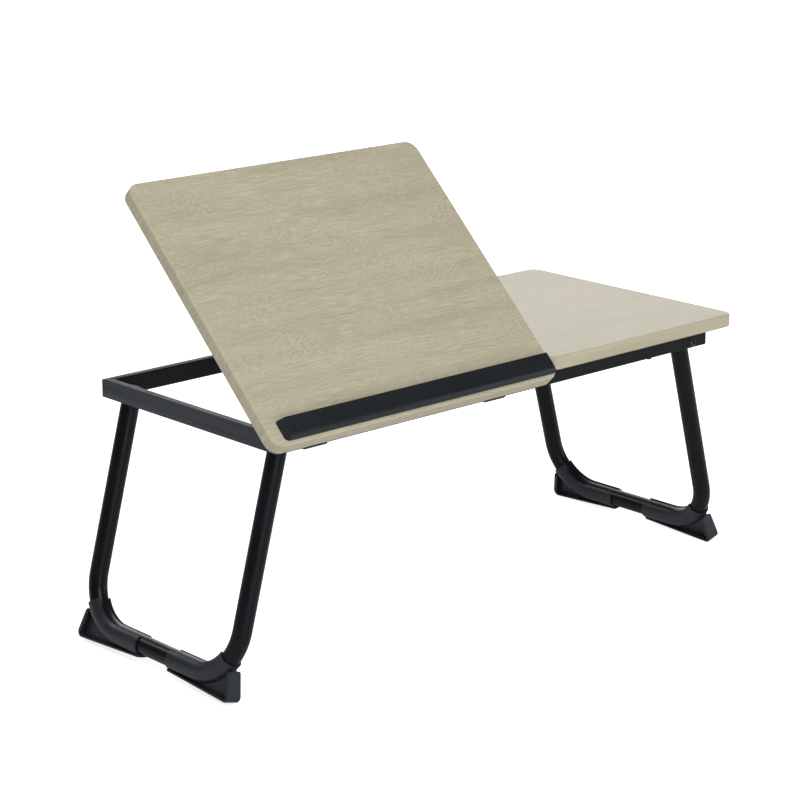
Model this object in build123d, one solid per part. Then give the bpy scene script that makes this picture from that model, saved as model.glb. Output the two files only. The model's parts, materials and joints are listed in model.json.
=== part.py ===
from build123d import *
import math
import os

# Folding computer table with a fixed top, a tilting top and two folding legs.
# Millimetres. +X runs along the table, +Y to its back, +Z up from the floor.
# The pose is the working one: legs out on their stops, tilting top raised.

# Sizes of the two tops
tilting_top_length = 390.0
fixed_top_length = 299.0
top_gap = 3.0
top_depth = 320.0
top_thickness = 15.0
top_corner_radius = 14.0
top_arris = 2.2
left_overhang = 26.0
right_overhang = 30.0
side_overhang = 16.5

# Sizes of the frame, rectangular steel tube with mitred corners
rail_height = 20.0
rail_width = 10.0
rail_wall = 1.2
rail_edge_radius = 1.6

# Sizes of the legs, round steel tube bent to a U
tube_radius = 10.0
tube_wall = 1.2
bend_radius = 55.0
pivot_to_bar = 248.5
pivot_inset = 22.3
pivot_drop = 14.0
post_head = 5.2
plug_dome = 2.6
plug_depth = 1.5

# Sizes of the leg pivots
bolt_radius = 3.0
bolt_head_radius = 5.0
bolt_head_height = 2.8
bolt_socket_radius = 2.0
bolt_socket_depth = 1.6
bolt_end = 1.2
spacer_thickness = 3.0
spacer_radius = 7.0
washer_thickness = 1.0
washer_radius = 6.0
nut_across_flats = 10.0
nut_height = 5.0

# Sizes of the shoe that clips on each lower bend
shoe_wall = 1.9
shoe_slot_angle = 36.0
shoe_spacing = 51.6
shoe_bend_angle = 56.0
sole_thickness = 2.2
sole_corner_drop = 18.4
sole_toe_drop = 13.1
sole_toe_run = 2.0
sole_reach = 9.2
end_wall_rise = 13.8
end_wall_flare = 8.2
end_wall_return = 4.8
end_wall_return_wall = 2.2
sole_corner_radius = 6.5
sole_corner_width = 17.0
sole_toe_width = 14.0
sole_end_radius = 3.0
wall_corner_radius = 2.5
shoe_draft = 1.5
sole_edge_radius = 0.8
shoe_web = 4.0

# Sizes of the two hinges
hinge_left_inset = 74.0
hinge_right_inset = 68.0
hinge_width = 32.0
hinge_out = 4.1
hinge_drop = 10.5
hinge_leaf = 1.5
hinge_pin_radius = 2.2
hinge_pin_end = 0.8
hinge_leaf_peek = 0.5
hinge_flange_setback = 2.0
knuckle_gap = 0.2
leaf_gap = 0.35
leaf_bend_radius = 2.0
leaf_hole_spacing = 20.0
rivet_radius = 1.6
rivet_head_radius = 2.5
rivet_head_height = 1.0
rivet_rise = 3.5
rivet_tail = 1.6

# Sizes of the stop bar at the front of the tilting top
stop_left_inset = 15.0
stop_right_inset = 2.4
stop_setback = 4.4
stop_depth = 23.0
stop_height = 6.5
stop_lip = 1.4
stop_bevel = 6.0
stop_nose_bulge = 0.9
stop_groove_width = 1.0
stop_groove_depth = 0.5
stop_left_slope = 7.6
stop_right_slope = 3.4
stop_corner_radius = 5.5
stop_screw_inset = 30.0
stop_screw_setback = 8.0

# Sizes of the prop under the tilting top and of the rack that takes it
tilt_angle = 44.3
prop_wire_radius = 2.5
prop_half_width = 60.0
prop_bend_radius = 8.0
prop_stub = 16.0
prop_axis_drop = 6.0
rack_width = 36.0
rack_sheet = 2.0
rack_floor_drop = 17.0
rack_tab_drop = 0.3
rack_ramp_run = 5.0
rack_post_clearance = 6.3
notch_pitch = 11.0
notch_count = 7
notch_depth = 2.4
clip_width = 12.0
clip_wall = 1.8
clip_base = 2.0
clip_ear = 8.0

# Sizes of the wood screws
screw_radius = 2.0
screw_head_radius = 3.6
screw_head_height = 2.0
screw_grip = 10.0
small_screw_radius = 1.5
small_screw_head_radius = 2.8
small_screw_head_height = 1.7
small_screw_grip = 8.0
frame_screw_inset = 92.0
end_screw_half_spacing = 70.0

# Fits and clearances
stop_gap = 0.3
closing_gap = 0.3
side_play = 0.2
pivot_play = 0.1
pin_play = 0.05
hole_play = 0.05
shoe_play = 0.1
prop_play = 0.1
prop_clearance = 0.3
rack_clearance = 1.1
overrun = 2.0
quarter_turn = 90.0

# Places that follow from the sizes. The origin lies under the middle of the frame
table_length = tilting_top_length + top_gap + fixed_top_length
table_centre_x = (right_overhang - left_overhang) / 2
frame_length = table_length - left_overhang - right_overhang
frame_depth = top_depth - 2 * side_overhang
tilting_left_x = table_centre_x - table_length / 2
tilting_right_x = tilting_left_x + tilting_top_length
tilting_centre_x = (tilting_left_x + tilting_right_x) / 2
fixed_centre_x = tilting_right_x + top_gap + fixed_top_length / 2
rail_inner_y = frame_depth / 2 - rail_width
frame_screw_x = frame_length / 2 - frame_screw_inset
post_y = rail_inner_y - spacer_thickness - side_play - tube_radius
bend_start_y = post_y - bend_radius
shoe_straight = bend_start_y - shoe_spacing / 2
pivot_x = frame_length / 2 - pivot_inset

# The post leans out until it bears on the lower inner edge of the end rail
stop_run = pivot_inset - rail_width
stop_drop = rail_height - pivot_drop
stop_reach = math.hypot(stop_run, stop_drop)
stop_slope = math.atan2(stop_drop, stop_run)
lean_angle = math.degrees(math.acos((tube_radius + stop_gap) / stop_reach) - stop_slope)


def box_between(low, high):
    size = [b - a for a, b in zip(low, high)]
    centre = [(a + b) / 2 for a, b in zip(low, high)]
    return Pos(*centre) * Box(*size)


def rod_along_x(x0, x1, y, z, radius):
    return Pos((x0 + x1) / 2, y, z) * Rot(0, quarter_turn, 0) * Cylinder(radius, x1 - x0)


def rod_along_y(x, y0, y1, z, radius):
    return Pos(x, (y0 + y1) / 2, z) * Rot(quarter_turn, 0, 0) * Cylinder(radius, y1 - y0)


def rod_along_z(x, y, z0, z1, radius):
    return Pos(x, y, (z0 + z1) / 2) * Cylinder(radius, z1 - z0)


# A leg is drawn upright in its own frame, with its pivot at the origin
bar_plane = Plane(origin=(0, 0, -pivot_to_bar), x_dir=(0, 1, 0), z_dir=(1, 0, 0))


def leg_line():
    corners = [
        (0, -post_y, post_head),
        (0, -post_y, -pivot_to_bar),
        (0, post_y, -pivot_to_bar),
        (0, post_y, post_head),
    ]
    return FilletPolyline(*corners, radius=bend_radius)


def leg_rod(radius):
    start = Plane(origin=(0, -post_y, post_head), z_dir=(0, 0, -1))
    return sweep(start * Circle(radius), path=leg_line())


def leg_tube():
    tube = leg_rod(tube_radius) - leg_rod(tube_radius - tube_wall)
    for side in (-1, 1):
        y0 = side * post_y - tube_radius - overrun
        y1 = side * post_y + tube_radius + overrun
        tube -= rod_along_y(0, y0, y1, 0, bolt_radius + pivot_play)
    return tube


def leg_plug():
    edge = post_head + side_play
    crown = post_head + plug_dome
    rise = crown - edge
    dome_radius = (tube_radius ** 2 + rise ** 2) / (2 * rise)
    start = math.degrees(math.atan2(dome_radius - rise, tube_radius))
    stub_radius = tube_radius - tube_wall - hole_play
    outline = Polyline(
        (0, crown),
        (0, post_head - plug_depth),
        (stub_radius, post_head - plug_depth),
        (stub_radius, post_head),
        (tube_radius, post_head),
        (tube_radius, edge),
    )
    dome = CenterArc((0, crown - dome_radius), dome_radius, start, quarter_turn - start)
    return revolve(Plane.XZ * make_face(outline + dome), Axis.Z)


def leg_plugs():
    plug = leg_plug()
    return [Pos(0, side * post_y, 0) * plug for side in (-1, 1)]


def shoe_line():
    run = Line((bend_start_y - shoe_straight, 0), (bend_start_y, 0))
    turn = CenterArc((bend_start_y, bend_radius), bend_radius, -quarter_turn, shoe_bend_angle)
    return run + turn


def shoe_collar():
    outer = tube_radius + shoe_play + shoe_wall
    start = Plane(
        origin=(0, bend_start_y - shoe_straight, -pivot_to_bar),
        x_dir=(-1, 0, 0),
        z_dir=(0, 1, 0),
    )
    half_slot = math.radians(shoe_slot_angle)
    lip_x = 2 * outer * math.sin(half_slot)
    lip_y = 2 * outer * math.cos(half_slot)
    slot = make_face(Polyline((0, 0), (lip_x, lip_y), (-lip_x, lip_y), close=True))
    ring = Circle(outer) - Circle(tube_radius + shoe_play) - slot
    return sweep(start * ring, path=bar_plane * shoe_line())


def sole_corners():
    reach = post_y + sole_reach
    top = (reach - end_wall_flare, end_wall_rise)
    corner = (reach, -sole_corner_drop)
    toe = (bend_start_y - shoe_straight - sole_toe_run, -sole_toe_drop)
    return top, corner, toe


def sole_outline():
    return FilletPolyline(*sole_corners(), radius=sole_corner_radius)


def sole_hull():
    top, corner, toe = sole_corners()
    return make_face(sole_outline() + Line(toe, top))


def across_shoe(face, half_width):
    return extrude(bar_plane * face, amount=half_width, both=True)


def sole_trim():
    # The sole narrows to its toe, and the whole shoe narrows upwards by its draft
    top, corner, toe = sole_corners()
    far_y = corner[0] + overrun
    plan = make_face(
        Polyline(
            (-sole_toe_width / 2, toe[0]),
            (sole_toe_width / 2, toe[0]),
            (sole_corner_width / 2, far_y),
            (-sole_corner_width / 2, far_y),
            close=True,
        )
    )
    plan = fillet(plan.vertices().group_by(Axis.Y)[0], sole_end_radius)
    height = top[1] - corner[1] + overrun
    return extrude(Pos(0, 0, corner[1] - pivot_to_bar) * plan, amount=height, taper=shoe_draft)


def wall_returns():
    # The end wall turns back along both sides, so from the side it looks deeper than it is
    top, corner, toe = sole_corners()
    down = Vector(corner[0] - top[0], corner[1] - top[1])
    inward = Vector(down.Y, -down.X).normalized() * end_wall_return
    low_back = (corner[0] + inward.X, corner[1] + inward.Y)
    high_back = (top[0] + inward.X, top[1] + inward.Y)
    wall = make_face(Polyline(top, corner, low_back, high_back, close=True))
    return wall & offset(sole_hull(), amount=-sole_thickness / 2)


def edges_near(solid, place, distance):
    # The edges along the shoe's sides whose middle, seen from the side, is this near to a place
    near = []
    for edge in solid.edges():
        middle = edge @ 0.5
        flat_middle = Vertex(0, middle.Y, middle.Z)
        if abs(middle.X) > sole_end_radius and place.distance_to(flat_middle) < distance:
            near.append(edge)
    return near


def sole_strip():
    top, corner, toe = sole_corners()
    strip = make_face(offset(sole_outline(), amount=sole_thickness, side=Side.RIGHT, closed=True))
    pocket = sole_hull() - strip
    returns = across_shoe(wall_returns(), sole_corner_width)
    returns -= across_shoe(pocket, sole_corner_width / 2 - end_wall_return_wall)
    solid = (across_shoe(strip, sole_corner_width) + returns) & sole_trim()
    tip = Vertex(0, top[0], top[1] - pivot_to_bar)
    solid = fillet(edges_near(solid, tip, sole_thickness), wall_corner_radius)
    rims = edges_near(solid, bar_plane * sole_outline(), side_play)
    return fillet(rims, sole_edge_radius)


def shoe_rib():
    top, corner, toe = sole_corners()
    line = shoe_line()
    inner = Line(line @ 1, top) + sole_outline() + Line(toe, line @ 0)
    return across_shoe(make_face(line + inner), shoe_web / 2)


def shoe():
    body = shoe_collar() + sole_strip() + shoe_rib()
    return body - leg_rod(tube_radius + shoe_play)


def on_leg(piece, side):
    # Side is -1 at the left end and 1 at the right end
    return Pos(side * pivot_x, 0, pivot_z) * Rot(0, -side * lean_angle, 0) * piece


# The frame stands as high as the lowest edge of a leaning shoe makes it
back_shoe = shoe()
front_shoe = mirror(back_shoe, Plane.XZ)
pivot_z = -(Rot(0, -lean_angle, 0) * back_shoe).bounding_box().min.Z
frame_top = pivot_z + pivot_drop
frame_low = frame_top - rail_height
tilting_low = frame_top + closing_gap
tilting_face_z = tilting_low + top_thickness
hinge_y = -frame_depth / 2 - hinge_out
hinge_z = frame_top - hinge_drop
hinge_axis = Axis((0, hinge_y, hinge_z), (1, 0, 0))
knuckle_radius = hinge_pin_radius + pin_play + hinge_leaf
knuckle_length = (hinge_width - 2 * knuckle_gap) / 3

# The prop and the hinge arm are equal sides, so the wire's cross bar runs along a level line
ramp_foot_y = post_y - tube_radius - rack_post_clearance - rack_ramp_run
cross_bar_y = ramp_foot_y - prop_wire_radius - rack_clearance
prop_length = (cross_bar_y - hinge_y) / 2
clip_y = hinge_y + prop_length
clip_z = tilting_low - prop_axis_drop
arm_rise = clip_z - hinge_z
tilt = math.radians(tilt_angle)
prop_axis_y = hinge_y + prop_length * math.cos(tilt) - arm_rise * math.sin(tilt)
prop_axis_z = hinge_z + prop_length * math.sin(tilt) + arm_rise * math.cos(tilt)
bar_rest_y = hinge_y + 2 * prop_length * math.cos(tilt) - arm_rise * math.sin(tilt)
bar_rest_z = hinge_z + arm_rise * math.cos(tilt)
tooth_z = bar_rest_z - prop_wire_radius - prop_clearance


def raised(piece):
    return piece.rotate(hinge_axis, tilt_angle)


def rail_profile():
    outer = RectangleRounded(rail_width, rail_height, rail_edge_radius)
    hollow = Rectangle(rail_width - 2 * rail_wall, rail_height - 2 * rail_wall)
    return outer - hollow


def mitred(tube, corners):
    plan = Pos(0, 0, frame_low - overrun) * make_face(Polyline(*corners, close=True))
    return tube & extrude(plan, amount=rail_height + 2 * overrun)


def frame_screw_hole(x, y):
    high = frame_top + screw_grip + hole_play
    return rod_along_z(x, y, frame_low - overrun, high, screw_radius + hole_play)


def front_rail():
    x = frame_length / 2
    y = frame_depth / 2
    middle = (0, -y + rail_width / 2, frame_low + rail_height / 2)
    place = Plane(origin=middle, x_dir=(0, 1, 0), z_dir=(1, 0, 0))
    tube = extrude(place * rail_profile(), amount=x, both=True)
    corners = [(-x, -y), (x, -y), (x - rail_width, -y + rail_width), (-x + rail_width, -y + rail_width)]
    rail = mitred(tube, corners)
    for side in (-1, 1):
        bolt_x = side * pivot_x
        rail -= rod_along_y(bolt_x, -y - overrun, overrun - rail_inner_y, pivot_z, bolt_radius + hole_play)
    return rail - frame_screw_hole(frame_screw_x, -y + rail_width / 2)


def left_rail():
    x = frame_length / 2
    y = frame_depth / 2
    middle = (-x + rail_width / 2, 0, frame_low + rail_height / 2)
    place = Plane(origin=middle, x_dir=(1, 0, 0), z_dir=(0, -1, 0))
    tube = extrude(place * rail_profile(), amount=y, both=True)
    corners = [(-x, -y), (-x + rail_width, -y + rail_width), (-x + rail_width, y - rail_width), (-x, y)]
    return mitred(tube, corners)


def drilled_for_end_screws(rail):
    x = frame_length / 2 - rail_width / 2
    for side in (-1, 1):
        rail -= frame_screw_hole(x, side * end_screw_half_spacing)
    return rail


def pivot_bolt():
    # Turned about Z with the underside of its head at zero, shank downwards
    grip = rail_width + spacer_thickness + side_play + 2 * tube_radius + side_play
    length = grip + washer_thickness + nut_height + bolt_end
    rise = bolt_head_height
    dome_radius = (bolt_head_radius ** 2 + rise ** 2) / (2 * rise)
    start = math.degrees(math.atan2(dome_radius - rise, bolt_head_radius))
    outline = Polyline(
        (0, rise),
        (0, -length),
        (bolt_radius, -length),
        (bolt_radius, 0),
        (bolt_head_radius, 0),
    )
    dome = CenterArc((0, rise - dome_radius), dome_radius, start, quarter_turn - start)
    bolt = revolve(Plane.XZ * make_face(outline + dome), Axis.Z)
    socket = extrude(Pos(0, 0, rise) * RegularPolygon(bolt_socket_radius, 6), amount=-bolt_socket_depth)
    return bolt - socket


def ring(inner_radius, outer_radius, thickness):
    return extrude(Circle(outer_radius) - Circle(inner_radius), amount=thickness)


def along_pivots(piece, distance):
    # Sets a piece drawn about Z on each pivot, its zero this far in from the frame's outer face
    places = []
    for end in (-1, 1):
        for side in (-1, 1):
            y = side * (frame_depth / 2 - distance)
            places.append(Pos(end * pivot_x, y, pivot_z) * Rot(-side * quarter_turn, 0, 0) * piece)
    return places


def pivot_bolts():
    return along_pivots(pivot_bolt(), 0)


def pivot_spacers():
    spacer = ring(bolt_radius + hole_play, spacer_radius, spacer_thickness)
    return along_pivots(spacer, rail_width + spacer_thickness)


def pivot_washers():
    washer = ring(bolt_radius + hole_play, washer_radius, washer_thickness)
    return along_pivots(washer, frame_depth / 2 - post_y + tube_radius + side_play + washer_thickness)


def pivot_nuts():
    blank = extrude(RegularPolygon(nut_across_flats / 2, 6, major_radius=False), amount=nut_height)
    nut = blank - Cylinder(bolt_radius + hole_play, 2 * nut_height + overrun)
    reach = frame_depth / 2 - post_y + tube_radius + side_play + washer_thickness
    return along_pivots(nut, reach + nut_height)


def board(length, centre_x, low_z):
    outline = RectangleRounded(length, top_depth, top_corner_radius)
    panel = extrude(Pos(centre_x, 0, low_z) * outline, amount=top_thickness)
    rims = panel.edges().group_by(Axis.Z)
    return fillet(rims[0] + rims[-1], top_arris)


def frame_screw_places():
    y = frame_depth / 2 - rail_width / 2
    x = frame_length / 2 - rail_width / 2
    places = [(frame_screw_x, side * y) for side in (-1, 1)]
    places += [(x, side * end_screw_half_spacing) for side in (-1, 1)]
    return places


def fixed_top():
    panel = board(fixed_top_length, fixed_centre_x, frame_top)
    for x, y in frame_screw_places():
        panel -= frame_screw_hole(x, y)
    return panel


def wood_screw(radius, head_radius, head_height, length):
    # Points up from zero, with its domed head below zero
    outline = Polyline(
        (0, -head_height),
        (0, length),
        (radius, length - radius),
        (radius, 0),
        (head_radius, 0),
    )
    rim = Line((head_radius, 0), (head_radius, -head_height / 2))
    crown = Spline(
        (head_radius, -head_height / 2),
        (0, -head_height),
        tangents=((0, -1), (-1, 0)),
    )
    return revolve(Plane.XZ * make_face(outline + rim + crown), Axis.Z)


def frame_screws():
    length = rail_height + screw_grip
    screw = wood_screw(screw_radius, screw_head_radius, screw_head_height, length)
    return [Pos(x, y, frame_low) * screw for x, y in frame_screw_places()]


def knuckle(x0, x1):
    outer = rod_along_x(x0, x1, hinge_y, hinge_z, knuckle_radius)
    return outer - rod_along_x(x0 - overrun, x1 + overrun, hinge_y, hinge_z, hinge_pin_radius + pin_play)


def side_knuckle_spans():
    outer = hinge_width / 2
    inner = knuckle_length / 2 + knuckle_gap
    return [(-outer, -inner), (inner, outer)]


def leaf_hole_xs():
    return [-leaf_hole_spacing / 2, leaf_hole_spacing / 2]


def frame_leaf():
    face_y = -frame_depth / 2
    half = hinge_width / 2
    low_z = frame_low - hinge_leaf_peek
    leaf = box_between((-half, face_y - hinge_leaf, low_z), (half, face_y, hinge_z))
    gap_half = knuckle_length / 2 + knuckle_gap
    gap_z = hinge_z - knuckle_radius - leaf_gap
    low = (-gap_half, face_y - hinge_leaf - overrun, gap_z)
    leaf -= box_between(low, (gap_half, face_y + overrun, hinge_z + overrun))
    lower = leaf.edges().filter_by(Axis.Y).group_by(Axis.Z)[0]
    leaf = fillet(lower, leaf_bend_radius)
    for x0, x1 in side_knuckle_spans():
        leaf += knuckle(x0, x1)
    for x in leaf_hole_xs():
        z = low_z + rivet_rise
        leaf -= rod_along_y(x, face_y - hinge_leaf - overrun, face_y + overrun, z, rivet_radius + hole_play)
    return leaf


def small_screw_hole(x, y):
    high = tilting_low + small_screw_grip + hole_play
    return rod_along_z(x, y, tilting_low - hinge_leaf - overrun, high, small_screw_radius + hole_play)


def flange_hole_y():
    front = -top_depth / 2 + hinge_flange_setback
    back = hinge_y + knuckle_radius
    return (front + back - leaf_bend_radius) / 2


def top_leaf():
    back_y = hinge_y + knuckle_radius
    front_y = -top_depth / 2 + hinge_flange_setback
    low_z = tilting_low - hinge_leaf
    profile = make_face(
        Polyline(
            (back_y, hinge_z),
            (back_y, tilting_low),
            (front_y, tilting_low),
            (front_y, low_z),
            (back_y - hinge_leaf, low_z),
            (back_y - hinge_leaf, hinge_z),
            close=True,
        )
    )
    corner = profile.vertices().sort_by_distance((back_y, tilting_low))[0]
    profile = fillet(corner, leaf_bend_radius)
    leaf = extrude(Plane.YZ * profile, amount=hinge_width / 2, both=True)
    for x0, x1 in side_knuckle_spans():
        low = (min(x0, x1) - knuckle_gap, back_y - hinge_leaf - overrun, hinge_z - overrun)
        high = (max(x0, x1) + knuckle_gap, back_y + overrun, hinge_z + knuckle_radius + leaf_gap)
        leaf -= box_between(low, high)
    leaf += knuckle(-knuckle_length / 2, knuckle_length / 2)
    front = leaf.edges().filter_by(Axis.Z).group_by(Axis.Y)[0]
    leaf = fillet(front, leaf_bend_radius)
    leaf -= rod_along_x(-hinge_width, hinge_width, hinge_y, hinge_z, hinge_pin_radius + pin_play)
    for x in leaf_hole_xs():
        leaf -= small_screw_hole(x, flange_hole_y())
    return leaf


def hinge_pin():
    half = hinge_width / 2 + hinge_pin_end
    pin = rod_along_x(-half, half, hinge_y, hinge_z, hinge_pin_radius)
    return chamfer(pin.edges().filter_by(GeomType.CIRCLE), hinge_pin_end / 2)


def rivet():
    # Its head bears on the leaf from the front and its tail is spread inside the rail
    outline = Polyline(
        (0, -rivet_head_height),
        (0, hinge_leaf + rail_wall + rivet_tail),
        (rivet_radius, hinge_leaf + rail_wall + rivet_tail),
        (rivet_radius, 0),
        (rivet_head_radius, 0),
        (rivet_head_radius, -rivet_head_height / 2),
        (rivet_radius, -rivet_head_height),
        close=True,
    )
    return revolve(Plane.XZ * make_face(outline), Axis.Z)


def hinge_xs():
    return [tilting_left_x + hinge_left_inset, tilting_right_x - hinge_right_inset]


def rivet_places():
    z = frame_low - hinge_leaf_peek + rivet_rise
    y = -frame_depth / 2 - hinge_leaf
    return [(hinge_x + x, y, z) for hinge_x in hinge_xs() for x in leaf_hole_xs()]


def hinge_rivets():
    return [Pos(*place) * Rot(-quarter_turn, 0, 0) * rivet() for place in rivet_places()]


def drilled_for_rivets(rail):
    for x, y, z in rivet_places():
        rail -= rod_along_y(x, y - overrun, y + hinge_leaf + rail_width / 2, z, rivet_radius + hole_play)
    return rail


def hinge_screw_places():
    y = flange_hole_y()
    return [(hinge_x + x, y) for hinge_x in hinge_xs() for x in leaf_hole_xs()]


def clip_xs():
    stub_centre = prop_half_width - prop_bend_radius - prop_stub / 2
    return [tilting_centre_x - stub_centre, tilting_centre_x + stub_centre]


def clip_screw_ys():
    reach = prop_wire_radius + clip_wall + clip_ear / 2
    return [clip_y - reach, clip_y + reach]


def clip_screw_places():
    return [(x, y) for x in clip_xs() for y in clip_screw_ys()]


def stop_screw_places():
    left = tilting_left_x + stop_left_inset + stop_screw_inset
    right = tilting_right_x - stop_right_inset - stop_screw_inset
    y = -top_depth / 2 + stop_setback + stop_screw_setback
    return [(x, y) for x in (left, (left + right) / 2, right)]


def stop_screw():
    # Countersunk flush with the underside of the board, through to the stop bar
    head = small_screw_head_radius
    taper = head - small_screw_radius
    length = top_thickness + stop_height / 2
    outline = Polyline(
        (0, 0),
        (0, length),
        (small_screw_radius, length - small_screw_radius),
        (small_screw_radius, taper),
        (head, 0),
        close=True,
    )
    return revolve(Plane.XZ * make_face(outline), Axis.Z)


def stop_screw_hole():
    radius = small_screw_radius + hole_play
    head = small_screw_head_radius + hole_play
    sink = head - radius
    length = top_thickness + stop_height / 2 + hole_play
    outline = Polyline(
        (0, -overrun),
        (0, length),
        (radius, length),
        (radius, sink),
        (head, 0),
        (head, -overrun),
        close=True,
    )
    return revolve(Plane.XZ * make_face(outline), Axis.Z)


def tilting_top():
    panel = board(tilting_top_length, tilting_centre_x, tilting_low)
    for x, y in hinge_screw_places() + clip_screw_places():
        panel -= small_screw_hole(x, y)
    for x, y in stop_screw_places():
        panel -= Pos(x, y, tilting_low) * stop_screw_hole()
    return panel


def small_screws(places, seat_drop):
    grip = small_screw_grip + seat_drop
    screw = wood_screw(small_screw_radius, small_screw_head_radius, small_screw_head_height, grip)
    return [Pos(x, y, tilting_low - seat_drop) * screw for x, y in places]


def stop_bar_section():
    # Drawn from the side, with its lower face at zero and its nose turned to the front
    front = stop_setback - top_depth / 2
    fold = front + stop_bevel
    fold_height = stop_height - stop_groove_depth
    groove_height = fold_height - stop_groove_depth
    slope = Vector(stop_bevel, groove_height - stop_lip)
    across = Vector(-slope.Y, slope.X).normalized() * stop_nose_bulge
    crown = Vector(front, stop_lip) + slope / 2 + across
    nose = ThreePointArc((front, stop_lip), (crown.X, crown.Y), (fold, groove_height))
    rest = Polyline(
        (fold, groove_height),
        (fold + stop_groove_width, groove_height),
        (fold + stop_groove_width, fold_height),
        (front + stop_depth, stop_height),
        (front + stop_depth, 0),
        (front, 0),
        (front, stop_lip),
    )
    return make_face(nose + rest)


def stop_bar():
    left = tilting_left_x + stop_left_inset
    right = tilting_right_x - stop_right_inset
    front = stop_setback - top_depth / 2
    side_plane = Plane(origin=(left, 0, tilting_face_z), x_dir=(0, 1, 0), z_dir=(1, 0, 0))
    bar = extrude(side_plane * stop_bar_section(), amount=right - left)
    plan = Rectangle(right - left, stop_depth)
    plan = fillet(plan.vertices().group_by(Axis.Y)[0], stop_corner_radius)
    plan = fillet(plan.vertices().group_by(Axis.Y)[-1], top_arris)
    middle = Pos((left + right) / 2, front + stop_depth / 2, tilting_face_z)
    bar = bar & extrude(middle * plan, amount=stop_height)
    slopes = make_face(
        Polyline(
            (left, 0),
            (left + stop_left_slope, stop_height),
            (right - stop_right_slope, stop_height),
            (right, 0),
            close=True,
        )
    )
    long_plane = Plane(origin=(0, front - overrun, tilting_face_z), x_dir=(1, 0, 0), z_dir=(0, -1, 0))
    bar = bar & extrude(long_plane * slopes, amount=-(stop_depth + 2 * overrun))
    for x, y in stop_screw_places():
        bar -= Pos(x, y, tilting_low) * stop_screw_hole()
    return bar


def prop_clip():
    # A saddle round the wire's stub, with a screw ear before and behind it
    radius = prop_wire_radius + clip_wall
    ear_y = radius + clip_ear
    base_low = (-clip_width / 2, -ear_y, prop_axis_drop - clip_base)
    base = box_between(base_low, (clip_width / 2, ear_y, prop_axis_drop))
    base = fillet(base.edges().filter_by(Axis.Z), clip_base)
    body = rod_along_x(-clip_width / 2, clip_width / 2, 0, 0, radius)
    body += box_between((-clip_width / 2, -radius, 0), (clip_width / 2, radius, prop_axis_drop))
    clip = base + body - rod_along_x(-clip_width, clip_width, 0, 0, prop_wire_radius + prop_play)
    for y in clip_screw_ys():
        hole = small_screw_radius + hole_play
        clip -= rod_along_z(0, y - clip_y, 0, prop_axis_drop + overrun, hole)
    return clip


def prop_wire():
    # Drawn about its own axis, lying flat and reaching to the back
    arm = prop_half_width
    stub = arm - prop_bend_radius - prop_stub
    corners = [(-stub, 0), (-arm, 0), (-arm, prop_length), (arm, prop_length), (arm, 0), (stub, 0)]
    line = FilletPolyline(*corners, radius=prop_bend_radius)
    start = Plane(origin=(-stub, 0, 0), z_dir=(-1, 0, 0))
    return sweep(start * Circle(prop_wire_radius), path=line)


def placed_prop():
    wire = Rot(-2 * tilt_angle, 0, 0) * prop_wire()
    return raised(Pos(tilting_centre_x, clip_y, clip_z) * wire)


def rack_channel():
    low = frame_top - rack_floor_drop
    high = frame_top - rack_tab_drop
    ramp_top_y = ramp_foot_y + rack_ramp_run
    tab_low = high - rack_sheet
    half = rack_width / 2
    floor = Polyline(
        (-rail_inner_y, high),
        (-ramp_top_y, high),
        (-ramp_foot_y, low + rack_sheet),
        (ramp_foot_y, low + rack_sheet),
        (ramp_top_y, high),
        (rail_inner_y, high),
        (rail_inner_y, tab_low),
        (ramp_top_y + rack_sheet, tab_low),
        (ramp_foot_y + rack_sheet, low),
        (-ramp_foot_y - rack_sheet, low),
        (-ramp_top_y - rack_sheet, tab_low),
        (-rail_inner_y, tab_low),
        close=True,
    )
    rack = extrude(Plane.YZ * make_face(floor), amount=half, both=True)
    for side in (-1, 1):
        x0, x1 = sorted((side * half, side * (half - rack_sheet)))
        rack += box_between((x0, -ramp_foot_y, low), (x1, ramp_foot_y, tooth_z))
    seat_radius = prop_wire_radius + prop_clearance
    for step in range(notch_count):
        y = bar_rest_y + step * notch_pitch
        z = tooth_z + seat_radius - notch_depth
        rack -= rod_along_x(-rack_width, rack_width, y, z, seat_radius)
    return Pos(tilting_centre_x, 0, 0) * rack


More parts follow.
